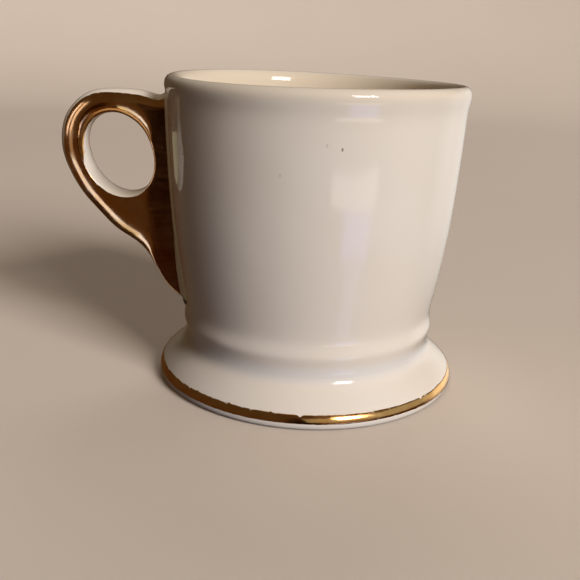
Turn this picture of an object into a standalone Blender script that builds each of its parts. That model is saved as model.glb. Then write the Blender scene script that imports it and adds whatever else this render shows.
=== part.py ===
"""Porcelain shaving mug with a flared foot and a gilded ring handle.

Units are metres, +Z up. The mug stands on z = 0 and its handle points along -X. Everything is drawn about the
mug's own axis and parented to the empty mug_axis, which is set off along X so that the origin is under the
middle of the whole mug, handle included. The cup and the foot are turned profiles. The handle is a plate with
rounded edges, drawn in the XZ plane.
"""

import math

import bmesh
import bpy
import numpy as np

MM = 0.001

# Driving dimensions
HEIGHT = 92.0 * MM
LIP_RADIUS = 45.2 * MM
WAIST_RADIUS = 38.9 * MM
BEAD_RADIUS = 39.45 * MM
NECK_RADIUS = 38.6 * MM
FOOT_RADIUS = 47.15 * MM
WALL = 4.2 * MM
FLOOR_THICKNESS = 5.0 * MM
HANDLE_REACH = 77.6 * MM
HANDLE_THICKNESS = 10.6 * MM

# Gap kept between neighbours, and the thickness of the thin layers
GAP = 0.3 * MM
SLIP_THICKNESS = 0.6 * MM
GOLD_THICKNESS = 0.4 * MM

# Foot ring: flat top under the cup, flat bottom that touches the table, and a wide bore
FOOT_TOP = 12.0 * MM
BORE_TOP_RADIUS = 30.5 * MM
BORE_BOTTOM_RADIUS = 41.0 * MM
CONTACT_RADIUS = 46.3 * MM
CUP_BOTTOM = FOOT_TOP + 2 * GAP + SLIP_THICKNESS

# Gold line round the foot
BAND_BOTTOM = 2.3 * MM
BAND_TOP = 4.4 * MM

# Finger hole, an oval that leans with the ring
HOLE_CENTRE = np.array([-59.3, 67.7]) * MM
HOLE_HALF_LENGTH = 12.6 * MM
HOLE_HALF_WIDTH = 10.05 * MM
HOLE_TILT = math.radians(117.4)

# Handle faces: how far in from an edge they still round off, the bare margins beside the gold, and the slip's reach
EDGE_ROUNDING = 4.5 * MM
GOLD_MARGIN = 1.0 * MM
GOLD_STANDOFF = 2.0 * MM
SLIP_OVERHANG = 1.0 * MM
SLIP_TOP = 85.0 * MM

# Mesh fineness
TURN_STEPS = 48
HANDLE_STEPS = 56
FACE_STEPS = 6
SLIP_ROWS = 14
SLIP_COLUMNS = 5

AXIS_OFFSET = (HANDLE_REACH - FOOT_RADIUS) / 2


def clear_scene():
    for old in list(bpy.data.objects):
        bpy.data.objects.remove(old, do_unlink=True)


def make_material(name, colour, roughness, metallic):
    material = bpy.data.materials.new(name)
    material.use_nodes = True
    shader = material.node_tree.nodes["Principled BSDF"]
    shader.inputs["Base Color"].default_value = (*colour, 1.0)
    shader.inputs["Roughness"].default_value = roughness
    shader.inputs["Metallic"].default_value = metallic
    material.diffuse_color = (*colour, 1.0)
    return material


def make_object(name, mesh, material, parent):
    mesh.materials.append(material)
    piece = bpy.data.objects.new(name, mesh)
    bpy.context.scene.collection.objects.link(piece)
    piece.parent = parent
    return piece


def smooth_through(points, steps):
    """Open curve through the points, with this many straight steps between two neighbours."""
    points = np.asarray(points, float)
    ends = (2 * points[0] - points[1], 2 * points[-1] - points[-2])
    knots = np.vstack([ends[0], points, ends[1]])
    curve = []
    for before, start, end, after in zip(knots, knots[1:], knots[2:], knots[3:]):
        for t in np.arange(steps) / steps:
            bend = 2 * before - 5 * start + 4 * end - after
            twist = 3 * start - before - 3 * end + after
            curve.append(start + 0.5 * t * (end - before + t * (bend + t * twist)))
    curve.append(points[-1])
    return np.array(curve)


# Cup profile


def cup_outside():
    """Outer wall of the cup as (radius, height), from the neck over the bead and the waist to the lip's widest."""
    stations = [
        (NECK_RADIUS + 0.1 * MM, CUP_BOTTOM + 0.8 * MM),
        (BEAD_RADIUS - 0.45 * MM, 16.2 * MM),
        (BEAD_RADIUS, 18.4 * MM),
        (WAIST_RADIUS + 0.1 * MM, 21.0 * MM),
        (WAIST_RADIUS + 0.1 * MM, 24.0 * MM),
        (40.7 * MM, 34.0 * MM),
        (42.75 * MM, 52.0 * MM),
        (43.9 * MM, 70.0 * MM),
        (44.35 * MM, 82.0 * MM),
        (44.75 * MM, 86.5 * MM),
        (LIP_RADIUS, 89.3 * MM),
    ]
    return smooth_through(stations, 2)


def lip():
    """The rolled lip, an arc from its widest point over the crest to the inside."""
    crest_radius = 42.7 * MM
    inner_radius = 40.6 * MM
    start_height = 89.3 * MM
    rise = HEIGHT - start_height
    outer = [
        (crest_radius + (LIP_RADIUS - crest_radius) * math.cos(a), start_height + rise * math.sin(a))
        for a in np.radians([25, 50, 75])
    ]
    inner = [
        (crest_radius + (inner_radius - crest_radius) * math.sin(a), start_height + rise * math.cos(a))
        for a in np.radians([0, 30, 60, 90])
    ]
    return outer + inner


def cup_inside():
    """Inner wall from just under the lip down to the middle of the floor."""
    floor = CUP_BOTTOM + FLOOR_THICKNESS
    corner = 9.0 * MM
    wall_foot = WAIST_RADIUS - WALL
    wall = smooth_through(
        [
            (40.2 * MM, 84.0 * MM),
            (43.3 * MM - WALL, 62.0 * MM),
            (41.6 * MM - WALL, 42.0 * MM),
            (wall_foot, floor + corner),
        ],
        2,
    )
    turn = [
        (wall_foot - corner * (1 - math.cos(a)), floor + corner * (1 - math.sin(a)))
        for a in np.radians([22.5, 45, 67.5, 90])
    ]
    return [*map(tuple, wall), *turn, (0.0, floor)]


def cup_radius(height):
    outside = cup_outside()
    return np.interp(height, outside[:, 1], outside[:, 0])


# Turned pieces


def turned(name, profile, closed, material, parent):
    """Solid of revolution. The profile runs up the inside, over the top and down the outside."""
    profile = list(profile)
    mesh = bpy.data.meshes.new(name)
    count = len(profile)
    edges = [(i, i + 1) for i in range(count - 1)] + ([(count - 1, 0)] if closed else [])
    mesh.from_pydata([(radius, 0.0, height) for radius, height in profile], edges, [])
    piece = make_object(name, mesh, material, parent)
    screw = piece.modifiers.new("turn", "SCREW")
    screw.axis = "Z"
    screw.steps = TURN_STEPS
    screw.render_steps = TURN_STEPS
    screw.use_merge_vertices = True
    screw.merge_threshold = 0.00001
    screw.use_smooth_shade = True
    return piece


def add_bowl(material, parent):
    inside_upwards = cup_inside()[::-1]
    over_lip = lip()[::-1]
    outside_down = [tuple(point) for point in cup_outside()[::-1]]
    underside = [(NECK_RADIUS, CUP_BOTTOM), (0.0, CUP_BOTTOM)]
    turned("bowl", [*inside_upwards, *over_lip, *outside_down, *underside], False, material, parent)


def foot_slope(height):
    """Radius of the finished foot's upper side, gold line included."""
    heights = np.array([BAND_BOTTOM, BAND_TOP, 6.0 * MM, 8.2 * MM, 9.5 * MM, 10.7 * MM, FOOT_TOP])
    radii = np.array([FOOT_RADIUS, 46.3 * MM, 44.7 * MM, 42.1 * MM, 40.7 * MM, 39.7 * MM, 39.0 * MM])
    return float(np.interp(height, heights, radii))


def add_foot(material, parent):
    groove = GAP + GOLD_THICKNESS
    levels = (FOOT_TOP, 10.7 * MM, 9.5 * MM, 8.2 * MM, 6.0 * MM, BAND_TOP + GAP)
    outside = [(foot_slope(z), z) for z in levels]
    seat = [
        (foot_slope(BAND_TOP) - groove, BAND_TOP + GAP),
        (foot_slope(BAND_BOTTOM) - groove, BAND_BOTTOM - GAP),
    ]
    edge = [(FOOT_RADIUS, BAND_BOTTOM - GAP), (FOOT_RADIUS, 0.8 * MM), (CONTACT_RADIUS, 0.0)]
    bore = [(BORE_BOTTOM_RADIUS, 0.0), (BORE_BOTTOM_RADIUS - 1.5 * MM, 4.0 * MM), (BORE_TOP_RADIUS, FOOT_TOP)]
    turned("foot", [*outside, *seat, *edge, *bore], True, material, parent)


def add_foot_slip(material, parent):
    low = FOOT_TOP + GAP
    high = low + SLIP_THICKNESS
    profile = [(BORE_TOP_RADIUS, low), (BORE_TOP_RADIUS, high), (NECK_RADIUS, high), (NECK_RADIUS, low)]
    turned("foot_slip_seam", profile, True, material, parent)


def add_foot_band(material, parent):
    top = foot_slope(BAND_TOP)
    bottom = foot_slope(BAND_BOTTOM)
    profile = [
        (top - GOLD_THICKNESS, BAND_TOP),
        (top, BAND_TOP),
        (bottom, BAND_BOTTOM),
        (bottom - GOLD_THICKNESS, BAND_BOTTOM),
    ]
    turned("foot_gold_band", profile, True, material, parent)


# Handle


def handle_edge():
    """Outer edge of the handle in the XZ plane, from the lip round the ring and down the tail."""
    stations = np.array(
        [
            (44.0, 85.7),
            (48.3, 85.7),
            (56.0, 86.9),
            (62.4, 86.8),
            (68.4, 85.7),
            (72.9, 82.6),
            (75.8, 78.8),
            (77.25, 74.6),
            (HANDLE_REACH / MM, 71.0),
            (77.3, 67.6),
            (75.4, 61.8),
            (71.6, 55.0),
            (66.5, 49.2),
            (60.3, 43.3),
            (56.0, 40.8),
            (52.5, 38.1),
            (49.5, 34.4),
            (47.2, 30.1),
            (44.7, 26.8),
            (42.0, 24.4),
            (39.8, 22.4),
            (37.8, 20.4),
        ]
    )
    stations[:, 0] *= -1
    return smooth_through(stations * MM, 4)


def finger_hole(grow):
    """Point of the oval hole's edge at an angle round its centre, with the oval grown by this much."""
    long_axis = np.array([math.cos(HOLE_TILT), math.sin(HOLE_TILT)])
    short_axis = np.array([-long_axis[1], long_axis[0]])

    def point(direction):
        along = direction @ long_axis / (HOLE_HALF_LENGTH + grow)
        across = direction @ short_axis / (HOLE_HALF_WIDTH + grow)
        return HOLE_CENTRE + direction / math.hypot(along, across)

    return point


def inset(curve, distance):
    """The curve moved towards its left-hand side, which is the handle's inside."""
    along = np.gradient(curve, axis=0)
    along /= np.linalg.norm(along, axis=1)[:, None]
    return curve + distance * np.column_stack([-along[:, 1], along[:, 0]])


def handle_boundary(margin, standoff):
    """Closed outline: the outer edge moved in by the margin, then up beside the cup at the standoff from it."""
    edge = inset(handle_edge(), margin)
    outside_cup = -edge[:, 0] > cup_radius(edge[:, 1]) + standoff
    edge = edge[outside_cup]
    rows = np.linspace(edge[-1, 1], edge[0, 1], 24)
    root = np.column_stack([-(cup_radius(rows) + standoff), rows])
    outline = np.vstack([edge, root])
    keep = np.linalg.norm(outline - np.roll(outline, 1, axis=0), axis=1) > 0.4 * MM
    return outline[keep]


def spaced_evenly(outline, count):
    """Points at equal distances along the closed outline."""
    ring = np.vstack([outline, outline[:1]])
    travelled = np.concatenate([[0.0], np.cumsum(np.linalg.norm(np.diff(ring, axis=0), axis=1))])
    stops = np.linspace(0.0, travelled[-1], count, endpoint=False)
    return np.column_stack([np.interp(stops, travelled, ring[:, axis]) for axis in (0, 1)])


def distance_to(point, curve):
    """Distance in the plane from a point to a polyline."""
    starts = curve[:-1]
    sides = curve[1:] - starts
    along = np.clip(((point - starts) * sides).sum(1) / (sides * sides).sum(1), 0.0, 1.0)
    return float(np.linalg.norm(starts + along[:, None] * sides - point, axis=1).min())


def rounding(distance):
    """Share of the full thickness at this distance from an edge, a quarter of an ellipse."""
    short = 1.0 - min(distance / EDGE_ROUNDING, 1.0)
    return math.sqrt(max(0.0, 1.0 - short * short))


def plate_share(point, edge, hole):
    """Share of the full half thickness at a point of the handle's face."""
    return rounding(distance_to(point, edge)) * rounding(distance_to(point, hole))


def face_rings(hole_grow, margin, standoff):
    """Points across the handle's face: for each step round the finger hole, a row from the hole to the outline."""
    outline = spaced_evenly(handle_boundary(margin, standoff), HANDLE_STEPS)
    hole_point = finger_hole(hole_grow)
    shares = (1 - np.cos(np.linspace(0.0, math.pi, FACE_STEPS + 1))) / 2
    rows = []
    for end in outline:
        direction = (end - HOLE_CENTRE) / np.linalg.norm(end - HOLE_CENTRE)
        start = hole_point(direction)
        rows.append([start + share * (end - start) for share in shares])
    return rows


def loop_mesh(name, loops, ring):
    """Closed skin through closed loops of points. In a ring the last loop joins the first, else both ends are capped."""
    shape = bmesh.new()
    rows = [[shape.verts.new(point) for point in loop] for loop in loops]
    joins = list(zip(rows, rows[1:]))
    if ring:
        joins.append((rows[-1], rows[0]))
    else:
        shape.faces.new(rows[0][::-1])
        shape.faces.new(rows[-1])
    for this, following in joins:
        for i in range(len(this)):
            j = (i + 1) % len(this)
            shape.faces.new((this[i], this[j], following[j], following[i]))
    bmesh.ops.remove_doubles(shape, verts=shape.verts, dist=0.002 * MM)
    bmesh.ops.recalc_face_normals(shape, faces=shape.faces)
    mesh = bpy.data.meshes.new(name)
    shape.to_mesh(mesh)
    shape.free()
    mesh.shade_smooth()
    mesh.set_sharp_from_angle(angle=math.radians(40))
    return mesh


def handle_rulers():
    """The outer edge and the hole's edge, from which the face's rounding is measured."""
    hole_point = finger_hole(0.0)
    turns = np.linspace(0.0, 2 * math.pi, 73)
    hole = np.array([hole_point(np.array([math.cos(a), math.sin(a)])) for a in turns])
    return handle_edge(), hole


def add_handle(material, parent):
    half = HANDLE_THICKNESS / 2 - GAP - GOLD_THICKNESS
    edge, hole = handle_rulers()
    loops = []
    for row in face_rings(0.0, 0.0, 2 * GAP + SLIP_THICKNESS):
        depths = [half * plate_share(point, edge, hole) for point in row]
        front = [(x, -depth, z) for (x, z), depth in zip(row, depths)]
        back = [(x, depth, z) for (x, z), depth in zip(row, depths)]
        loops.append(front + back[::-1])
    make_object("handle", loop_mesh("handle", loops, ring=True), material, parent)


def add_handle_gilding(name, side, material, parent):
    """Gold skin over one face of the handle. Side is -1 for the front and 1 for the back."""
    half = HANDLE_THICKNESS / 2 - GAP - GOLD_THICKNESS
    edge, hole = handle_rulers()
    loops = []
    for row in face_rings(GOLD_MARGIN, GOLD_MARGIN, GOLD_STANDOFF):
        depths = [half * plate_share(point, edge, hole) + GAP for point in row]
        under = [(x, side * depth, z) for (x, z), depth in zip(row, depths)]
        over = [(x, side * (depth + GOLD_THICKNESS), z) for (x, z), depth in zip(row, depths)]
        loops.append(under + over[::-1])
    make_object(name, loop_mesh(name, loops, ring=True), material, parent)


def add_handle_slip(material, parent):
    """Pad of slip between the cup and the handle's root, a little wider than the root."""
    outline = handle_boundary(0.0, 2 * GAP + SLIP_THICKNESS)
    edge, hole = handle_rulers()
    loops = []
    for height in np.linspace(outline[:, 1].min() + 0.4 * MM, SLIP_TOP, SLIP_ROWS):
        radius = cup_radius(height)
        root = np.array([-(radius + 2 * GAP + SLIP_THICKNESS), height])
        half_width = HANDLE_THICKNESS / 2 * plate_share(root, edge, hole) + SLIP_OVERHANG
        turns = math.pi + np.linspace(-half_width, half_width, SLIP_COLUMNS) / radius
        inner = [(math.cos(a) * (radius + GAP), math.sin(a) * (radius + GAP), height) for a in turns]
        reach = radius + GAP + SLIP_THICKNESS
        outer = [(math.cos(a) * reach, math.sin(a) * reach, height) for a in turns]
        loops.append(inner + outer[::-1])
    mesh = loop_mesh("handle_slip_seam", loops, ring=False)
    make_object("handle_slip_seam", mesh, material, parent)


def build():
    clear_scene()
    porcelain = make_material("glazed_porcelain", (0.80, 0.73, 0.62), 0.12, 0.0)
    slip = make_material("glazed_slip", (0.76, 0.69, 0.58), 0.2, 0.0)
    gold = make_material("bright_gold", (0.62, 0.34, 0.12), 0.18, 1.0)

    axis = bpy.data.objects.new("mug_axis", None)
    bpy.context.scene.collection.objects.link(axis)
    axis.location.x = AXIS_OFFSET

    add_bowl(porcelain, axis)
    add_foot(porcelain, axis)
    add_foot_slip(slip, axis)
    add_foot_band(gold, axis)
    add_handle(porcelain, axis)
    add_handle_slip(slip, axis)
    add_handle_gilding("handle_gilding_front", -1, gold, axis)
    add_handle_gilding("handle_gilding_back", 1, gold, axis)


build()
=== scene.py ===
"""Looks of the gilded porcelain shaving mug: fine surfaces, glaze and gold, studio light and camera."""

import math

import bmesh
import bpy
import numpy as np
from mathutils import Matrix, Vector, noise


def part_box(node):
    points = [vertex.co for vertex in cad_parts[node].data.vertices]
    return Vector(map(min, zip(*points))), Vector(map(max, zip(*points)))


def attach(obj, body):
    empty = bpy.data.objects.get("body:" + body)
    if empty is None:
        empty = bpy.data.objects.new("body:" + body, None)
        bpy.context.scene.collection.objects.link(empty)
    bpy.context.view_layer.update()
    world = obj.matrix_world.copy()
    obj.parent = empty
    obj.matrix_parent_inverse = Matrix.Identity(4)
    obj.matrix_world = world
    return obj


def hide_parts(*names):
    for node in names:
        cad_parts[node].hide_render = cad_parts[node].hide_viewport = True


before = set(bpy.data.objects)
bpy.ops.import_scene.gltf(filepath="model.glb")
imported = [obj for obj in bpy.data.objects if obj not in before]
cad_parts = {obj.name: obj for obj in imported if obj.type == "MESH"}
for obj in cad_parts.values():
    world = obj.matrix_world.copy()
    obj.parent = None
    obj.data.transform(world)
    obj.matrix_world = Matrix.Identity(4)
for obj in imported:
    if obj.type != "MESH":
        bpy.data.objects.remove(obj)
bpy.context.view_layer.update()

MM = 0.001

# The mug's own axis and its main sizes, read from the frame
bowl_low, bowl_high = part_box("bowl")
AXIS_X = (bowl_low.x + bowl_high.x) / 2
HEIGHT = bowl_high.z
RIM_RADIUS = (bowl_high.x - bowl_low.x) / 2
HANDLE_REACH = AXIS_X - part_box("handle")[0].x

# Profile in millimetres, as (radius, height): up the inside, over the lip, and down the outside to the table
INSIDE = [
    (0.0, 18.2),
    (12.0, 18.2),
    (24.0, 18.4),
    (30.5, 19.8),
    (33.4, 22.6),
    (34.9, 27.2),
    (36.0, 34.0),
    (37.4, 42.0),
    (38.5, 52.0),
    (39.3, 62.0),
    (40.0, 75.0),
    (40.2, 83.0),
]
OVER_LIP = [
    (40.35, 87.0),
    (40.7, 89.3),
    (41.4, 90.9),
    (42.5, 91.8),
    (43.5, 91.9),
    (44.5, 91.3),
    (45.1, 90.2),
    (45.2, 88.9),
    (45.0, 87.5),
    (44.7, 85.9),
    (44.48, 84.0),
    (44.35, 81.0),
]
OUTSIDE = [
    (44.15, 75.0),
    (43.55, 63.5),
    (42.75, 52.0),
    (41.7, 42.0),
    (40.7, 34.5),
    (39.75, 28.5),
    (39.15, 24.8),
    (38.98, 22.4),
    (39.25, 20.3),
    (39.5, 18.6),
    (39.3, 17.2),
    (38.95, 15.9),
    (38.72, 14.6),
    (38.68, 13.4),
]
FOOT_SIDE = [
    (38.86, 12.2),
    (39.28, 11.1),
    (39.95, 10.15),
    (40.8, 9.3),
    (41.75, 8.5),
    (42.8, 7.65),
    (44.7, 6.0),
    (46.2, 4.5),
    (47.0, 3.1),
    (47.15, 2.0),
    (46.95, 0.9),
    (46.3, 0.2),
    (45.6, 0.0),
]
# Recess under the foot, from the ring that it stands on up to the cup
BORE = [(41.3, 0.0), (40.8, 0.4), (39.5, 4.0), (35.4, 8.0), (30.5, 12.2)]
SEAT_HEIGHT = 13.3 * MM
SLIP_BOTTOM = 12.2 * MM

# Handle, which is thinner by ROOT_THINNING where it meets the cup and goes ROOT_DEPTH into the wall
HALF_THICKNESS = 5.3 * MM
ROOT_FILLET = 1.0 * MM
ROOT_THINNING = 0.45 * MM
ROOT_THINNING_REACH = 9.0 * MM
ROOT_DEPTH = 1.3 * MM
# Middle of the finger hole in the handle's plane, measured from the foot of the mug's axis
HOLE_CENTRE = np.array([-59.3, 67.7]) * MM
HOLE_HALF_LENGTH = 12.6 * MM
HOLE_HALF_WIDTH = 10.05 * MM
HOLE_TILT = math.radians(117.4)
# How far in from the outer edge and from the hole the faces round off: (angle round the hole in degrees from
# +X, millimetres)
EDGE_ROUNDINGS = [(0, 4.5), (60, 4.6), (110, 5.2), (150, 6.2), (270, 6.2), (360, 4.5)]
HOLE_ROUNDINGS = [
    (0, 0.9),
    (25, 1.3),
    (45, 4.0),
    (60, 5.2),
    (90, 5.6),
    (120, 4.2),
    (150, 2.2),
    (180, 1.1),
    (330, 0.8),
    (360, 0.9),
]
# Share of the outer edge's rounding that is left down the tail: (height in millimetres, share)
TAIL_ROUNDINGS = [(34, 0.15), (37, 0.3), (40, 0.65), (43, 0.97), (46, 1.0)]
# How square the two roundings are: 2 is an ellipse
EDGE_POWER = 2.0
HOLE_POWER = 2.4
# Outer edge from the top of the root round to the tip of the tail: (distance from the mug's axis, height)
HANDLE_EDGE = [
    (43.2, 88.2),
    (44.3, 87.6),
    (45.3, 86.8),
    (46.3, 85.9),
    (47.4, 85.6),
    (48.9, 85.8),
    (51.9, 86.55),
    (56.4, 86.95),
    (62.4, 86.85),
    (66.9, 86.2),
    (69.9, 84.95),
    (72.9, 82.6),
    (75.8, 78.8),
    (77.2, 74.8),
    (HANDLE_REACH / MM, 71.0),
    (77.3, 67.6),
    (75.4, 61.8),
    (71.6, 55.0),
    (66.5, 49.2),
    (60.3, 43.3),
    (56.0, 40.75),
    (52.5, 38.1),
    (49.5, 34.4),
    (47.1, 30.0),
    (44.7, 26.6),
    (42.2, 24.3),
    (40.2, 22.5),
    (39.2, 20.8),
    (38.8, 19.2),
    (38.2, 17.6),
    (37.4, 16.6),
]

# Gilding
GOLD_THICKNESS = 0.12 * MM
# Bare margin between the gold and the outer edge, and the hole's edge: (angle round the hole in degrees from
# +X, millimetres)
GOLD_EDGE_MARGINS = [
    (40, 1.8),
    (60, 1.35),
    (106, 0.95),
    (132, 1.0),
    (165, 1.8),
    (190, 1.5),
    (222, 1.3),
    (242, 0.5),
    (275, 0.4),
]
GOLD_HOLE_MARGINS = [(0, 0.3), (120, 0.3), (180, 0.2), (198, 0.8), (300, 0.8), (340, 0.35), (360, 0.3)]
NO_MARGINS = [(0, 0.0), (360, 0.0)]
# Gap between the gold and the cup's wall: (height, gap), both in millimetres
GOLD_STANDOFFS = [(26, 1.9), (33, 1.75), (37, 1.5), (43, 1.0), (50, 0.85), (67, 0.85), (83, 0.92)]
BAND_BOTTOM = 2.3 * MM
BAND_TOP = 4.6 * MM
# Chips and spurs of the band's top edge: angle from +X and half width in degrees, and rise in millimetres
BAND_MARKS = [
    (-90.8, 0.7, -0.5),
    (-42.0, 0.7, -0.4),
    (-117.0, 0.45, 0.3),
    (-101.0, 0.45, 0.25),
    (-132.0, 0.5, 0.2),
]

# Iron specks in the glaze, drawn out upright: angle from +X in degrees, height and half width in millimetres,
# and how dark
SPECKS = [
    (-81.0, 77.4, 0.36, 0.75),
    (-86.1, 78.35, 0.4, 0.22),
    (-101.2, 70.15, 0.38, 0.2),
    (60.0, 50.0, 0.36, 0.6),
    (130.0, 66.0, 0.32, 0.5),
]
SPECK_SQUASH = (1.0, 1.0, 0.55)

# Mesh fineness
CURVE_POINTS = 3000
BEND_LENGTH = 5.0 * MM
PROFILE_STEPS = 300
TURNS = 200
EDGE_STEPS = 260
ROOT_STEPS = 110
FACE_STEPS = 56
BAND_TURNS = 900
BAND_STEPS = 10
HALVINGS = 30
DISTANCE_BLOCK = 2000
WELD_DISTANCE = 0.0005 * MM
SHORTEST_EDGE = 0.0001 * MM
SHARP_ANGLE = math.radians(50)


# Curves


def spline(points, count):
    """Natural cubic curve through the points, given as this many points."""
    points = np.asarray(points, float)
    size = len(points)
    gaps = np.linalg.norm(np.diff(points, axis=0), axis=1)
    knots = np.concatenate([[0.0], np.cumsum(gaps)])
    slopes = np.diff(points, axis=0) / gaps[:, None]
    system = np.eye(size)
    target = np.zeros_like(points)
    for i in range(1, size - 1):
        system[i, i - 1 : i + 2] = gaps[i - 1], 2 * (gaps[i - 1] + gaps[i]), gaps[i]
        target[i] = 6 * (slopes[i] - slopes[i - 1])
    bends = np.linalg.solve(system, target)
    stops = np.linspace(0.0, knots[-1], count)
    span = np.clip(np.searchsorted(knots, stops, side="right") - 1, 0, size - 2)
    gap = gaps[span][:, None]
    after = (stops - knots[span])[:, None]
    before = gap - after
    curve = (bends[span] * before**3 + bends[span + 1] * after**3) / (6 * gap)
    curve += (points[span] / gap - bends[span] * gap / 6) * before
    curve += (points[span + 1] / gap - bends[span + 1] * gap / 6) * after
    return curve


def directions(curve):
    """Unit vectors along the curve."""
    along = np.gradient(curve, axis=0)
    return along / np.linalg.norm(along, axis=1)[:, None]


def left_side(curve):
    """Unit vectors square to the curve, on the left of the way it runs."""
    along = directions(curve)
    return np.column_stack([-along[:, 1], along[:, 0]])


def spaced(curve, count, bend_length=0.0):
    """The curve as this many points, closer together where it bends if a bend length is given."""
    steps = np.linalg.norm(np.diff(curve, axis=0), axis=1)
    along = directions(curve)
    bearing = np.unwrap(np.arctan2(along[:, 1], along[:, 0]))
    weights = steps + bend_length * np.abs(np.diff(bearing))
    travelled = np.concatenate([[0.0], np.cumsum(weights)])
    stops = np.linspace(0.0, travelled[-1], count)
    return np.column_stack([np.interp(stops, travelled, curve[:, axis]) for axis in (0, 1)])


def distance_to(points, curve):
    """Distance from each point to a finely sampled curve, taken square to the curve at its nearest sample."""
    sides = left_side(curve)
    found = np.empty(len(points))
    for start in range(0, len(points), DISTANCE_BLOCK):
        part = slice(start, start + DISTANCE_BLOCK)
        block = points[part]
        near = ((block[:, None, :] - curve[None, :, :]) ** 2).sum(2).argmin(1)
        found[part] = np.abs(((block - curve[near]) * sides[near]).sum(1))
    return found


def wander(distances, wavelength, seed):
    """Smooth seeded noise between about -1 and 1 along a line."""
    return np.array([noise.noise(Vector((d / wavelength, 7.3 * seed, 0.5))) for d in distances])


# Meshes


def make_piece(name, points, faces, material, weld=True):
    """Smooth mesh object that rides on the mug's body, with faces turned outwards and sharp edges kept."""
    mesh = bpy.data.meshes.new(name)
    mesh.from_pydata([tuple(point) for point in points], [], faces)
    shape = bmesh.new()
    shape.from_mesh(mesh)
    if weld:
        bmesh.ops.remove_doubles(shape, verts=shape.verts, dist=WELD_DISTANCE)
        bmesh.ops.dissolve_degenerate(shape, edges=shape.edges, dist=SHORTEST_EDGE)
    bmesh.ops.recalc_face_normals(shape, faces=shape.faces)
    shape.to_mesh(mesh)
    shape.free()
    mesh.shade_smooth()
    mesh.set_sharp_from_angle(angle=SHARP_ANGLE)
    mesh.materials.append(material)
    piece = bpy.data.objects.new(name, mesh)
    bpy.context.scene.collection.objects.link(piece)
    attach(piece, "root")
    return piece


def grid_faces(rows, columns, rows_closed=False, columns_closed=False):
    """Quads of a grid of points that is stored row by row."""
    faces = []
    for i in range(rows - (not rows_closed)):
        low = i * columns
        high = (i + 1) % rows * columns
        for j in range(columns - (not columns_closed)):
            k = (j + 1) % columns
            faces.append((low + j, low + k, high + k, high + j))
    return faces


# Cup and foot


def rim_warp(angles):
    """How far the rim stands off level, because the mug moved a little in the kiln."""
    return MM * (-0.24 * np.cos(angles) - 0.24 * np.sin(angles) - 0.3 * np.sin(2 * angles))


def turned(name, profile, material, closed):
    """Solid of revolution from (radius, height) points. An open profile starts and ends on the axis."""
    profile = np.asarray(profile)
    angles = 2 * math.pi * np.arange(TURNS) / TURNS
    radius, height = profile.T
    lift = np.outer(rim_warp(angles), radius / RIM_RADIUS * (height / HEIGHT) ** 2)
    x = AXIS_X + np.outer(np.cos(angles), radius)
    y = np.outer(np.sin(angles), radius)
    points = np.stack([x, y, height + lift], axis=2).reshape(-1, 3)
    return make_piece(name, points, grid_faces(TURNS, len(profile), True, closed), material)


WHOLE_PROFILE = spline(np.array(INSIDE + OVER_LIP + OUTSIDE + FOOT_SIDE) * MM, CURVE_POINTS)
WHOLE_PROFILE[0, 0] = 0.0
WIDEST_RIM = int(np.argmax(np.where(WHOLE_PROFILE[:, 1] > HEIGHT / 2, WHOLE_PROFILE[:, 0], 0.0)))
WALL_DOWN = WHOLE_PROFILE[WIDEST_RIM:]


def wall_radius(height):
    """Radius of the mug's outside at a height below the widest part of the rim."""
    return np.interp(height, WALL_DOWN[::-1, 1], WALL_DOWN[::-1, 0])


def add_cup_and_foot(glaze, slip):
    profile = spaced(WHOLE_PROFILE, PROFILE_STEPS, BEND_LENGTH)
    outside = np.arange(PROFILE_STEPS) > profile[:, 1].argmax()
    in_cup = ~outside | (profile[:, 1] > SEAT_HEIGHT)
    in_foot = outside & (profile[:, 1] < SLIP_BOTTOM)
    seat = (float(wall_radius(SEAT_HEIGHT)), SEAT_HEIGHT)
    join = (float(wall_radius(SLIP_BOTTOM)), SLIP_BOTTOM)
    bore_radius = BORE[-1][0] * MM

    section = np.vstack([profile[in_cup], [seat, (bore_radius, SEAT_HEIGHT), (0.0, SEAT_HEIGHT)]])
    cup = turned("cup_glazed", section, glaze, closed=False)
    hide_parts("bowl")

    between = profile[outside & ~in_cup & ~in_foot]
    section = np.vstack([[seat], between, [join, (bore_radius, SLIP_BOTTOM), (bore_radius, SEAT_HEIGHT)]])
    fillet_ring = turned("foot_slip_fillet", section, slip, closed=True)
    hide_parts("foot_slip_seam")

    section = np.vstack([[join], profile[in_foot], np.array(BORE) * MM])
    foot = turned("foot_glazed", section, glaze, closed=True)
    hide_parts("foot")
    return cup, foot, fillet_ring


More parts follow.
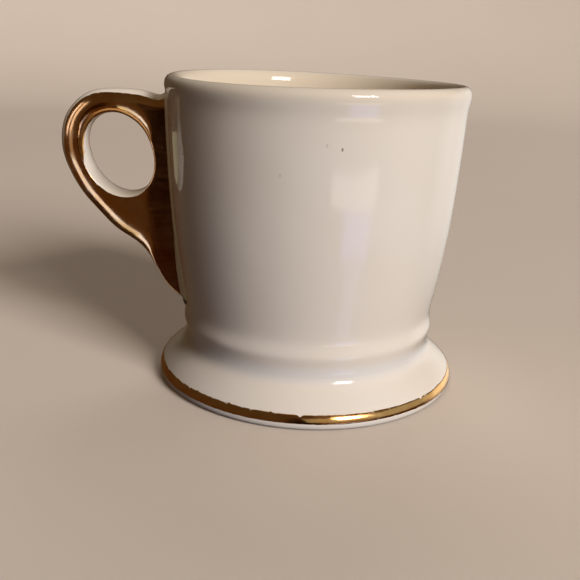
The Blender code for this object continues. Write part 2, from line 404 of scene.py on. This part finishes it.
def add_foot_band(gold):
    """Gold line round the foot, brushed on by hand, so that its edges wander."""
    angles = 2 * math.pi * np.arange(BAND_TURNS) / BAND_TURNS
    ring = [Vector((math.cos(a), math.sin(a), 0.0)) for a in angles]

    def uneven(scale, seed):
        return np.array([noise.noise(point * scale + Vector((0.0, 0.0, seed))) for point in ring])

    top = BAND_TOP + MM * (0.16 * uneven(2.5, 1.0) + 0.10 * uneven(12.0, 2.0) + 0.07 * uneven(45.0, 3.0))
    for turn, width, rise in BAND_MARKS:
        off = (np.degrees(angles) - turn + 180.0) % 360.0 - 180.0
        top = top + MM * rise * np.exp(-((off / width) ** 2))
    wave = 0.16 * uneven(2.0, 4.0) + 0.08 * uneven(14.0, 5.0) + 0.05 * uneven(50.0, 6.0)
    bottom = BAND_BOTTOM + MM * wave
    shares = np.linspace(0.0, 1.0, BAND_STEPS)
    heights = top[:, None] + np.outer(bottom - top, shares)
    radii = wall_radius(heights)
    x = AXIS_X + radii * np.cos(angles)[:, None]
    y = radii * np.sin(angles)[:, None]
    points = np.stack([x, y, heights], axis=2).reshape(-1, 3)
    faces = grid_faces(BAND_TURNS, BAND_STEPS, rows_closed=True)
    piece = make_piece("foot_band_gilding", points, faces, gold, weld=False)
    edge_gap = np.minimum(shares, 1 - shares)[None, :] * (top - bottom)[:, None]
    finish_gilding(piece, edge_gap)
    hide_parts("foot_gold_band")
    return piece


def finish_gilding(piece, edge_gap):
    """Gives a gold sheet its thickness, and keeps each point's distance from the edge in millimetres."""
    kept = piece.data.attributes.new("edge_gap", "FLOAT", "POINT")
    kept.data.foreach_set("value", (edge_gap / MM).astype(np.float32).ravel())
    skin = piece.modifiers.new("thickness", "SOLIDIFY")
    skin.thickness = GOLD_THICKNESS
    skin.offset = 0.0


# Handle


def finger_hole(grow, turns):
    """Points of the oval finger hole's edge at these angles round its centre, grown by this much."""
    long_axis = np.array([math.cos(HOLE_TILT), math.sin(HOLE_TILT)])
    short_axis = np.array([-long_axis[1], long_axis[0]])
    away = np.column_stack([np.cos(turns), np.sin(turns)])
    along = away @ long_axis / (HOLE_HALF_LENGTH + grow)
    across = away @ short_axis / (HOLE_HALF_WIDTH + grow)
    reach = 1 / np.hypot(along, across)
    return HOLE_CENTRE + away * reach[:, None]


EDGE_CURVE = spline(np.array(HANDLE_EDGE) * (-MM, MM), CURVE_POINTS)
HOLE_CURVE = finger_hole(0.0, np.linspace(0.0, 2 * math.pi, CURVE_POINTS // 2))


def fillet(gap):
    """How far the fillet at the handle's root stands out, at this gap from the cup's wall."""
    reach = np.clip(ROOT_FILLET - gap, 0.0, ROOT_FILLET)
    return ROOT_FILLET - np.sqrt(ROOT_FILLET**2 - reach**2)


def rounded(gap, radius, power):
    """Share of the full thickness at this gap from an edge that is rounded off over this radius."""
    short = 1 - np.clip(gap / radius, 0.0, 1.0)
    return (1 - short**power) ** (1 / power)


def half_depth(points):
    """Distance from the handle's middle plane to its face at points of that plane, found by halving."""
    wall = wall_radius(points[:, 1])
    edge_gap = distance_to(points, EDGE_CURVE)
    away = points - HOLE_CENTRE
    turns = np.degrees(np.arctan2(away[:, 1], away[:, 0])) % 360
    edge_rounding = MM * np.interp(turns, *np.transpose(EDGE_ROUNDINGS))
    edge_rounding *= np.interp(points[:, 1] / MM, *np.transpose(TAIL_ROUNDINGS))
    hole_rounding = MM * np.interp(turns, *np.transpose(HOLE_ROUNDINGS))
    hole_share = rounded(distance_to(points, HOLE_CURVE), hole_rounding, HOLE_POWER)
    near_root = np.clip(1 + (points[:, 0] + wall) / ROOT_THINNING_REACH, 0.0, 1.0)
    plain = HALF_THICKNESS - ROOT_THINNING * near_root**2
    low = np.zeros(len(points))
    high = np.full(len(points), HALF_THICKNESS + ROOT_FILLET)
    for _ in range(HALVINGS):
        middle = (low + high) / 2
        extra = fillet(np.hypot(points[:, 0], middle) - wall)
        full = (plain + extra) * rounded(edge_gap, edge_rounding + extra, EDGE_POWER) * hole_share
        low = np.where(middle < full, middle, low)
        high = np.where(middle < full, high, middle)
    return (low + high) / 2


def outline(edge, root_radius, root_heights):
    """Closed outline: the edge curve outside a radius from the mug's axis, and that radius beside the cup."""
    edge = edge[-edge[:, 0] > np.interp(edge[:, 1], root_heights, root_radius)]
    heights = np.linspace(edge[-1, 1], edge[0, 1], CURVE_POINTS)
    root = np.column_stack([-np.interp(heights, root_heights, root_radius), heights])
    return np.vstack([spaced(edge, EDGE_STEPS)[:-1], spaced(root, ROOT_STEPS)[:-1]])


def face_grid(ends, hole_margins):
    """Points across the handle's face, a row from near the hole's edge to each point of the outline."""
    away = ends - HOLE_CENTRE
    turns = np.arctan2(away[:, 1], away[:, 0])
    grow = MM * np.interp(np.degrees(turns) % 360, *np.transpose(hole_margins))
    starts = finger_hole(grow, turns)
    shares = (1 - np.cos(np.linspace(0.0, math.pi, FACE_STEPS))) / 2
    return starts[:, None, :] + shares[None, :, None] * (ends - starts)[:, None, :]


def add_handle(glaze):
    heights = np.linspace(10.0 * MM, HEIGHT, CURVE_POINTS)
    ends = outline(EDGE_CURVE, wall_radius(heights) - ROOT_DEPTH, heights)
    grid = face_grid(ends, NO_MARGINS)
    depth = half_depth(grid.reshape(-1, 2)).reshape(grid.shape[:2])
    front = np.stack([AXIS_X + grid[:, :, 0], -depth, grid[:, :, 1]], axis=2)
    back = front[:, ::-1] * (1, -1, 1)
    points = np.concatenate([front, back], axis=1)
    faces = grid_faces(len(ends), 2 * FACE_STEPS, True, True)
    piece = make_piece("handle_glazed", points.reshape(-1, 3), faces, glaze)
    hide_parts("handle", "handle_slip_seam")
    return piece


def add_handle_gilding(name, node, side, seed, gold):
    """Gold over one face of the handle. Side is -1 for the front and 1 for the back."""
    heights = np.linspace(20.0 * MM, HEIGHT, CURVE_POINTS)
    standoff = MM * np.interp(heights / MM, *np.transpose(GOLD_STANDOFFS))
    depth = HALF_THICKNESS + fillet(standoff)
    root_radius = np.sqrt((wall_radius(heights) + standoff) ** 2 - depth**2)

    steps = np.linalg.norm(np.diff(EDGE_CURVE, axis=0), axis=1)
    travelled = np.concatenate([[0.0], np.cumsum(steps)])
    away = EDGE_CURVE - HOLE_CENTRE
    turns = np.degrees(np.arctan2(away[:, 1], away[:, 0])) % 360
    margin = MM * np.interp(turns, *np.transpose(GOLD_EDGE_MARGINS))
    margin += MM * (0.10 * wander(travelled, 6.0 * MM, seed) + 0.05 * wander(travelled, 1.5 * MM, seed + 1))
    edge = EDGE_CURVE + margin[:, None] * left_side(EDGE_CURVE)
    ends = outline(edge, root_radius, heights)

    grid = face_grid(ends, GOLD_HOLE_MARGINS)
    depth = half_depth(grid.reshape(-1, 2)).reshape(grid.shape[:2])
    points = np.stack([AXIS_X + grid[:, :, 0], side * depth, grid[:, :, 1]], axis=2)
    faces = grid_faces(len(ends), FACE_STEPS, rows_closed=True)
    piece = make_piece(name, points.reshape(-1, 3), faces, gold, weld=False)
    from_hole = np.linalg.norm(grid - grid[:, :1], axis=2)
    from_outline = np.linalg.norm(grid - grid[:, -1:], axis=2)
    finish_gilding(piece, np.minimum(from_hole, from_outline))
    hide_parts(node)
    return piece


# Materials


class Recipe:
    """Node tree of a material, a lamp or the world, with short calls for adding nodes and linking them."""

    def __init__(self, name):
        self.material = bpy.data.materials.new(name)
        self.material.use_nodes = True
        self.tree = self.material.node_tree
        self.shader = self.tree.nodes["Principled BSDF"]

    @classmethod
    def of_tree(cls, owner):
        """The same calls for the node tree of a lamp or the world."""
        recipe = cls.__new__(cls)
        owner.use_nodes = True
        recipe.tree = owner.node_tree
        return recipe

    def node(self, kind, inputs=None, **settings):
        added = self.tree.nodes.new("ShaderNode" + kind)
        for key, value in settings.items():
            setattr(added, key, value)
        for key, value in (inputs or {}).items():
            self.set(added.inputs[key], value)
        return added

    def set(self, socket, value):
        if isinstance(value, bpy.types.NodeSocket):
            self.tree.links.new(value, socket)
        else:
            socket.default_value = value

    def place(self):
        return self.node("TexCoord").outputs["Object"]

    def noise(self, scale, detail=2.0, vector=None, roughness=0.5):
        inputs = {"Vector": vector or self.place(), "Scale": scale, "Detail": detail, "Roughness": roughness}
        return self.node("TexNoise", inputs).outputs["Fac"]

    def ranged(self, value, low, high, out_low, out_high, smooth=False):
        inputs = {"Value": value, "From Min": low, "From Max": high, "To Min": out_low, "To Max": out_high}
        kind = "SMOOTHSTEP" if smooth else "LINEAR"
        return self.node("MapRange", inputs, interpolation_type=kind).outputs["Result"]

    def mixed(self, factor, first, second):
        added = self.node("Mix", data_type="RGBA")
        self.set(added.inputs["Factor"], factor)
        self.set(added.inputs["A"], first)
        self.set(added.inputs["B"], second)
        return added.outputs["Result"]

    def maths(self, operation, *values):
        added = self.node("Math", operation=operation)
        for socket, value in zip(added.inputs, values):
            self.set(socket, value)
        return added.outputs["Value"]

    def vector_maths(self, operation, first, second):
        return self.node("VectorMath", {0: first, 1: second}, operation=operation)

    def bumped(self, height, strength, distance, normal=None):
        inputs = {"Height": height, "Strength": strength, "Distance": distance}
        if normal is not None:
            inputs["Normal"] = normal
        return self.node("Bump", inputs).outputs["Normal"]


def on_wall(angle, height):
    """Point of the mug's outside at an angle from +X and a height."""
    radius = float(wall_radius(height))
    return Vector((AXIS_X + radius * math.cos(angle), radius * math.sin(angle), height))


# Glaze colours
CREAM = (0.82, 0.755, 0.672)
IVORY = (0.80, 0.72, 0.62)
# Greyer tone round the neck above the foot: partly pooled glaze, partly painted shade in that recess
NECK_POOL_AND_SHADE = (0.72, 0.69, 0.655)
# Warmer, darker tone inside the cup and over the lip: partly a stain of use, partly painted shade
STAIN_AND_SHADE = (0.735, 0.635, 0.495, 1.0)
IRON = (0.12, 0.07, 0.04, 1.0)
PALE_IRON = (0.30, 0.22, 0.15, 1.0)

# Gold colours: thin and thick coats, and where it is rubbed through
THIN_GOLD = (0.74, 0.37, 0.12, 1.0)
THICK_GOLD = (0.86, 0.51, 0.21, 1.0)
RUBBED_GOLD = (0.62, 0.50, 0.40, 1.0)

DARKER_FLOOR = (0.74, 0.64, 0.54, 1.0)
PALER_FLOOR = (0.78, 0.68, 0.58, 1.0)


def toned(colour, tone):
    """The colour made darker or lighter, with its alpha."""
    return tuple(value * tone for value in colour) + (1.0,)


def stain_and_shade_cover(recipe, height):
    """How much of the darker, warmer tone shows: all of it inside the cup, and part of it over the lip.
    Inside it is partly a stain of use and partly painted shade; over the lip it is painted shade.
    """
    level = recipe.vector_maths("MULTIPLY", recipe.place(), (1.0, 1.0, 0.0)).outputs["Vector"]
    radius = recipe.vector_maths("DISTANCE", level, (AXIS_X, 0.0, 0.0)).outputs["Value"]
    wall_middle = recipe.ranged(height, 14.0 * MM, 90.0 * MM, 36.9 * MM, 42.1 * MM)
    inwards = recipe.maths("SUBTRACT", wall_middle, radius)
    inside = recipe.ranged(inwards, -0.5 * MM, 0.5 * MM, 0.0, 1.0, smooth=True)
    inside = recipe.maths("MULTIPLY", inside, recipe.ranged(height, 14.5 * MM, 16.0 * MM, 0.0, 1.0))
    # Over the lip: painted shade on its lit top
    lip = recipe.ranged(height, 87.5 * MM, 90.5 * MM, 0.0, 0.55, smooth=True)
    return recipe.maths("MAXIMUM", inside, lip)


def with_specks(recipe, colour):
    """The colour with iron specks at their places, and a sprinkling of paler ones."""
    squashed = recipe.vector_maths("MULTIPLY", recipe.place(), SPECK_SQUASH).outputs["Vector"]
    for angle, rise, size, depth in SPECKS:
        middle = on_wall(math.radians(angle), rise * MM) * Vector(SPECK_SQUASH)
        away = recipe.vector_maths("DISTANCE", squashed, middle).outputs["Value"]
        cover = recipe.ranged(away, 0.4 * size * MM, size * MM, depth, 0.0, smooth=True)
        colour = recipe.mixed(cover, colour, IRON)
    cells = recipe.node("TexVoronoi", {"Vector": recipe.place(), "Scale": 90.0})
    drawn = recipe.node("SeparateColor", {"Color": cells.outputs["Color"]}).outputs["Red"]
    chosen = recipe.ranged(drawn, 0.93, 0.95, 0.0, 0.55)
    dot = recipe.ranged(cells.outputs["Distance"], 0.012, 0.03, 1.0, 0.0, smooth=True)
    return recipe.mixed(recipe.maths("MULTIPLY", chosen, dot), colour, PALE_IRON)


def glaze_material(name, tone):
    """Ivory glaze: clouded, darker inside the cup from a stain of use and painted shade, darker on the lip
    from painted shade, greyer round the neck above the foot from pooled glaze and painted shade, specked and
    slightly wavy.
    """
    recipe = Recipe(name)
    clouds = recipe.ranged(recipe.noise(24.0, 3.0), 0.35, 0.7, 0.0, 1.0)
    colour = recipe.mixed(clouds, toned(CREAM, tone), toned(IVORY, tone))
    height = recipe.node("SeparateXYZ", {"Vector": recipe.place()}).outputs["Z"]
    # Darker and warmer inside the cup and over the lip: stain of use with painted shade
    colour = recipe.mixed(stain_and_shade_cover(recipe, height), colour, STAIN_AND_SHADE)
    # Greyer round the neck: pooled glaze and painted shade in that recess
    off_neck = recipe.maths("ABSOLUTE", recipe.maths("SUBTRACT", height, 13.2 * MM))
    pool_and_shade = recipe.ranged(off_neck, 0.5 * MM, 3.5 * MM, 0.8, 0.0, smooth=True)
    colour = recipe.mixed(pool_and_shade, colour, toned(NECK_POOL_AND_SHADE, tone))
    colour = with_specks(recipe, colour)

    recipe.set(recipe.shader.inputs["Base Color"], colour)
    roughness = recipe.ranged(recipe.noise(70.0, 4.0), 0.3, 0.7, 0.05, 0.11)
    recipe.set(recipe.shader.inputs["Roughness"], roughness)
    waves = recipe.bumped(recipe.noise(75.0, 1.5), 0.25, 0.35 * MM)
    grain = recipe.bumped(recipe.noise(900.0, 2.0), 0.06, 0.05 * MM, waves)
    recipe.set(recipe.shader.inputs["Normal"], grain)
    recipe.shader.inputs["IOR"].default_value = 1.5
    return recipe.material


def gold_material(name):
    """Bright burnished gold over glaze: coppery, streaked by the brush, and rubbed thin along its edges."""
    recipe = Recipe(name)
    brushed = recipe.node("Mapping", {"Vector": recipe.place(), "Scale": (180.0, 180.0, 900.0)})
    streaks = recipe.noise(1.0, 4.0, brushed.outputs["Vector"])
    clouds = recipe.noise(150.0, 3.0)
    colour = recipe.mixed(recipe.ranged(clouds, 0.35, 0.65, 0.0, 1.0), THIN_GOLD, THICK_GOLD)

    gap = recipe.node("Attribute", attribute_name="edge_gap").outputs["Fac"]
    edge_rubbing = recipe.ranged(gap, 0.0, 0.5, 0.55, 0.0)
    patchy_rubbing = recipe.ranged(recipe.noise(700.0, 5.0), 0.4, 0.75, 0.0, 0.7)
    rubbing = recipe.maths("ADD", edge_rubbing, patchy_rubbing)
    worn = recipe.ranged(rubbing, 0.72, 0.92, 0.0, 1.0, smooth=True)
    colour = recipe.mixed(worn, colour, RUBBED_GOLD)

    recipe.set(recipe.shader.inputs["Base Color"], colour)
    recipe.set(recipe.shader.inputs["Metallic"], recipe.ranged(worn, 0.0, 1.0, 1.0, 0.3))
    streaked = recipe.ranged(streaks, 0.3, 0.7, 0.10, 0.20)
    clouded = recipe.ranged(clouds, 0.4, 0.7, 0.0, 0.06)
    recipe.set(recipe.shader.inputs["Roughness"], recipe.maths("ADD", streaked, clouded))
    dents = recipe.bumped(recipe.noise(160.0, 2.0), 0.22, 0.3 * MM)
    recipe.set(recipe.shader.inputs["Normal"], recipe.bumped(streaks, 0.08, 0.05 * MM, dents))
    return recipe.material


def floor_material():
    recipe = Recipe("pale_floor")
    colour = recipe.mixed(recipe.noise(6.0, 3.0), DARKER_FLOOR, PALER_FLOOR)
    recipe.set(recipe.shader.inputs["Base Color"], colour)
    recipe.shader.inputs["Roughness"].default_value = 0.65
    return recipe.material


# Studio

BACKDROP_TONE = (0.54, 0.44, 0.33, 1.0)
AMBIENT_TONE = (0.075, 0.052, 0.032, 1.0)
TABLE_TONE = (0.080, 0.040, 0.014, 1.0)
ROOM_TONE = (0.072, 0.047, 0.023, 1.0)
FLOOR_TURNS = 128


def add_floor():
    """Round floor that sweeps up into a wall on every side, out of the way of the lights."""
    bend = [(0.8 + 0.6 * math.sin(a), 0.6 - 0.6 * math.cos(a)) for a in np.radians(np.arange(0.0, 91.0, 6.0))]
    profile = [(0.0, 0.0), (0.3, 0.0), (0.6, 0.0), *bend, (1.4, 1.6)]
    angles = 2 * math.pi * np.arange(FLOOR_TURNS) / FLOOR_TURNS
    radius, height = np.array(profile).T
    x = AXIS_X + np.outer(np.cos(angles), radius)
    y = np.outer(np.sin(angles), radius)
    points = np.stack([x, y, np.broadcast_to(height, x.shape)], axis=2).reshape(-1, 3)
    mesh = bpy.data.meshes.new("floor")
    faces = grid_faces(FLOOR_TURNS, len(profile), rows_closed=True)
    mesh.from_pydata([tuple(point) for point in points], [], faces)
    mesh.shade_smooth()
    mesh.materials.append(floor_material())
    floor = bpy.data.objects.new("floor", mesh)
    bpy.context.scene.collection.objects.link(floor)
    floor.visible_glossy = False
    floor.visible_diffuse = False
    floor.visible_shadow = False


def heading(turn, rise):
    """Unit vector pointing turn degrees to the right of the front and rise degrees up."""
    turn = math.radians(turn)
    rise = math.radians(rise)
    return Vector((math.sin(turn) * math.cos(rise), -math.cos(turn) * math.cos(rise), math.sin(rise)))


# Soft panels round the mug that only its gloss sees: turn and rise of the middle, half width, half height and
# tilt, all in degrees, then edge softness and the panel's light
PANELS = [
    (1, -14, 11.5, 42, 0, 0.12, (0.022, 0.007, 0.004)),
    (0, -4, 9, 8, 0, 0.3, (0.006, 0.003, 0.002)),
    (32, -17.1, 17, 1.9, 2.5, 0.15, (2.15, 2.00, 1.82)),
    (36, -23.2, 10, 4.3, 0, 0.3, (0.82, 0.92, 2.30)),
    (37, -36, 5, 9, 0, 0.5, (0.40, 0.50, 0.85)),
    (135, -2, 26, 18, 0, 0.6, (1.0, 0.95, 0.88)),
    (-102, -56, 38, 22, 0, 0.25, (0.035, 0.018, 0.006)),
]


def panel_cover(recipe, way, turn, rise, half_width, half_height, tilt, softness):
    """How much of a panel is seen in a direction, from 0 to 1, with soft edges."""
    middle = heading(turn, rise)
    across = heading(turn + 90, 0)
    upward = middle.cross(across)
    lean = math.radians(tilt)
    first = math.cos(lean) * across + math.sin(lean) * upward
    second = math.cos(lean) * upward - math.sin(lean) * across

    def along(axis):
        return recipe.vector_maths("DOT_PRODUCT", way, axis).outputs["Value"]

    forward = recipe.maths("MAXIMUM", along(middle), 0.001)
    cover = None
    for axis, half in ((first, half_width), (second, half_height)):
        reach = math.tan(math.radians(half))
        offset = recipe.maths("ABSOLUTE", recipe.maths("DIVIDE", along(axis), forward))
        inside = recipe.ranged(offset, (1 - softness) * reach, (1 + softness) * reach, 1.0, 0.0, smooth=True)
        cover = inside if cover is None else recipe.maths("MULTIPLY", cover, inside)
    return cover


def add_backdrop():
    """Pale surround for the camera, a dim warm one for the light, and soft panels that the gloss reflects."""
    world = bpy.data.worlds.new("studio")
    bpy.context.scene.world = world
    recipe = Recipe.of_tree(world)
    way = recipe.node("TexCoord").outputs["Generated"]
    up = recipe.node("SeparateXYZ", {"Vector": way}).outputs["Z"]
    colour = recipe.mixed(recipe.ranged(up, -0.15, 0.25, 0.0, 1.0, smooth=True), TABLE_TONE, ROOM_TONE)
    for turn, rise, half_width, half_height, tilt, softness, light in PANELS:
        cover = panel_cover(recipe, way, turn, rise, half_width, half_height, tilt, softness)
        colour = recipe.mixed(cover, colour, (*light, 1.0))
    path = recipe.node("LightPath")
    colour = recipe.mixed(path.outputs["Is Glossy Ray"], AMBIENT_TONE, colour)
    colour = recipe.mixed(path.outputs["Is Camera Ray"], colour, BACKDROP_TONE)
    recipe.set(recipe.tree.nodes["Background"].inputs["Color"], colour)


def add_soft_box(name, turn, rise, distance, size, radiance, colour, lights=True, shines=True, only=None):
    """Rectangular light aimed at the mug's middle, seen by matt and glossy surfaces or by one of the two.

    Turn is degrees to the right of the front, and rise is degrees up. Only names what it shines on.
    """
    target = Vector((AXIS_X, 0.0, HEIGHT / 2))
    away = heading(turn, rise)
    data = bpy.data.lights.new(name, "AREA")
    data.shape = "RECTANGLE"
    data.size, data.size_y = size
    data.energy = radiance * math.pi * size[0] * size[1]
    data.color = colour
    lamp = bpy.data.objects.new(name, data)
    bpy.context.scene.collection.objects.link(lamp)
    lamp.location = target + away * distance
    lamp.rotation_euler = away.to_track_quat("Z", "Y").to_euler()
    lamp.visible_camera = False
    lamp.visible_diffuse = lights
    lamp.visible_glossy = shines
    if only is not None:
        lamp.light_linking.receiver_collection = only
    return data


KEY_COLOUR = (1.0, 0.95, 0.92)
HOLE_COLOUR = (1.0, 0.88, 0.56)
LOW_FILL_COLOUR = (0.05, 0.30, 1.0)
HANDLE_FILL_COLOUR = (1.0, 0.76, 0.45)

CARD_DISTANCE = 4.0
# Ray depth is 2 at a card that is mirrored once, and 3 at one that is mirrored twice, which stays dark
DEPTH_LIMIT = 2.5
# Cards that only the handle's gold sees: turn and rise of the middle, half width and half height, all in
# degrees, and light
HANDLE_CARDS = [
    (-76, 17, 5, 18, (1.60, 1.70, 2.60)),
    (-56, 17, 5, 18, (1.35, 1.40, 1.90)),
    (-52, -9, 9, 8, (0.30, 0.32, 0.40)),
    (-55, -29, 11, 11, (1.12, 1.50, 2.80)),
    (-54, -46, 12, 6, (0.85, 0.95, 1.20)),
    (-60, -57, 7, 4, (1.15, 1.25, 1.10)),
]
# Cards that only the foot's gold band sees
BAND_CARDS = [
    (28, 14, 25, 18, (0.36, 0.42, 0.42)),
    (78, 14, 25, 18, (0.36, 0.42, 0.42)),
    (128, 10, 25, 18, (0.36, 0.42, 0.42)),
]


def only_these(name, pieces):
    """Collection for light linking, so that a lamp shines on nothing but these pieces."""
    group = bpy.data.collections.new(name)
    for piece in pieces:
        group.objects.link(piece)
    return group


def add_cards(name, cards, only):
    """Glossy-only cards that shine on nothing but the pieces of one collection."""
    for turn, rise, half_width, half_height, light in cards:
        size = [2 * CARD_DISTANCE * math.tan(math.radians(half)) for half in (half_width, half_height)]
        card = add_soft_box(name, turn, rise, CARD_DISTANCE, size, 1.0, light, lights=False, only=only)
        recipe = Recipe.of_tree(card)
        depth = recipe.node("LightPath").outputs["Ray Depth"]
        strength = recipe.maths("LESS_THAN", depth, DEPTH_LIMIT)
        recipe.set(recipe.tree.nodes["Emission"].inputs["Strength"], strength)


def add_lights(cup, foot, fillet_ring, handle):
    """Key from the right, split into its matt and its glossy part, and small fills for single pieces."""
    add_soft_box("key", 43, 27, 6.0, (2.1, 2.3), 24.9, KEY_COLOUR, shines=False)
    add_soft_box("key_shine", 36, 28, 6.0, (1.7, 1.7), 17.0, KEY_COLOUR, lights=False)
    add_soft_box("back_fill", 180, 45, 2.5, (1.2, 1.2), 2.5, KEY_COLOUR, shines=False)
    only = only_these("cup_only", [cup])
    size = (0.045, 0.034)
    add_soft_box("seen_through_hole", -121.3, -2.6, 0.168, size, 0.47, HOLE_COLOUR, lights=False, only=only)
    only = only_these("cup_and_foot", [cup, foot, fillet_ring])
    add_soft_box("low_fill", 5, -25, 0.2, (0.2, 0.05), 0.5, LOW_FILL_COLOUR, shines=False, only=only)
    only = only_these("handle_only", [handle])
    add_soft_box("handle_fill", -60, 65, 1.0, (0.5, 0.5), 1.1, HANDLE_FILL_COLOUR, shines=False, only=only)


CAMERA_PLACE = (AXIS_X, -0.2443, 0.1055)
CAMERA_PITCH = math.radians(18.1)
CAMERA_YAW = math.radians(-1.386)
CAMERA_ROLL = math.radians(2.214)
CAMERA_LENS = 49.42
SENSOR_WIDTH = 36.0


def add_camera():
    """Camera a quarter of a metre in front of the mug, a little above the rim and looking down."""
    flat = math.cos(CAMERA_PITCH)
    ahead = Vector((math.sin(CAMERA_YAW) * flat, math.cos(CAMERA_YAW) * flat, -math.sin(CAMERA_PITCH)))
    level = Vector((math.cos(CAMERA_YAW), -math.sin(CAMERA_YAW), 0.0))
    upright = level.cross(ahead)
    right = math.cos(CAMERA_ROLL) * level + math.sin(CAMERA_ROLL) * upright
    up = -math.sin(CAMERA_ROLL) * level + math.cos(CAMERA_ROLL) * upright
    data = bpy.data.cameras.new("camera")
    data.lens = CAMERA_LENS
    data.sensor_width = SENSOR_WIDTH
    data.clip_start = 0.01
    camera = bpy.data.objects.new("camera", data)
    bpy.context.scene.collection.objects.link(camera)
    axes = Matrix((right, up, -ahead)).transposed().to_4x4()
    camera.matrix_world = Matrix.Translation(CAMERA_PLACE) @ axes
    bpy.context.scene.camera = camera


def build():
    glaze = glaze_material("ivory_glaze", 1.0)
    slip = glaze_material("slip_glaze", 0.98)
    gold = gold_material("bright_gold")
    cup, foot, fillet_ring = add_cup_and_foot(glaze, slip)
    handle = add_handle(glaze)
    band = add_foot_band(gold)
    front = add_handle_gilding("handle_front_gilding", "handle_gilding_front", -1, 11, gold)
    back = add_handle_gilding("handle_back_gilding", "handle_gilding_back", 1, 23, gold)
    add_floor()
    add_backdrop()
    add_lights(cup, foot, fillet_ring, handle)
    add_cards("handle_card", HANDLE_CARDS, only_these("handle_gold", [front, back]))
    add_cards("band_card", BAND_CARDS, only_these("band_gold", [band]))
    add_camera()
    bpy.context.scene.view_settings.view_transform = "Standard"


build()
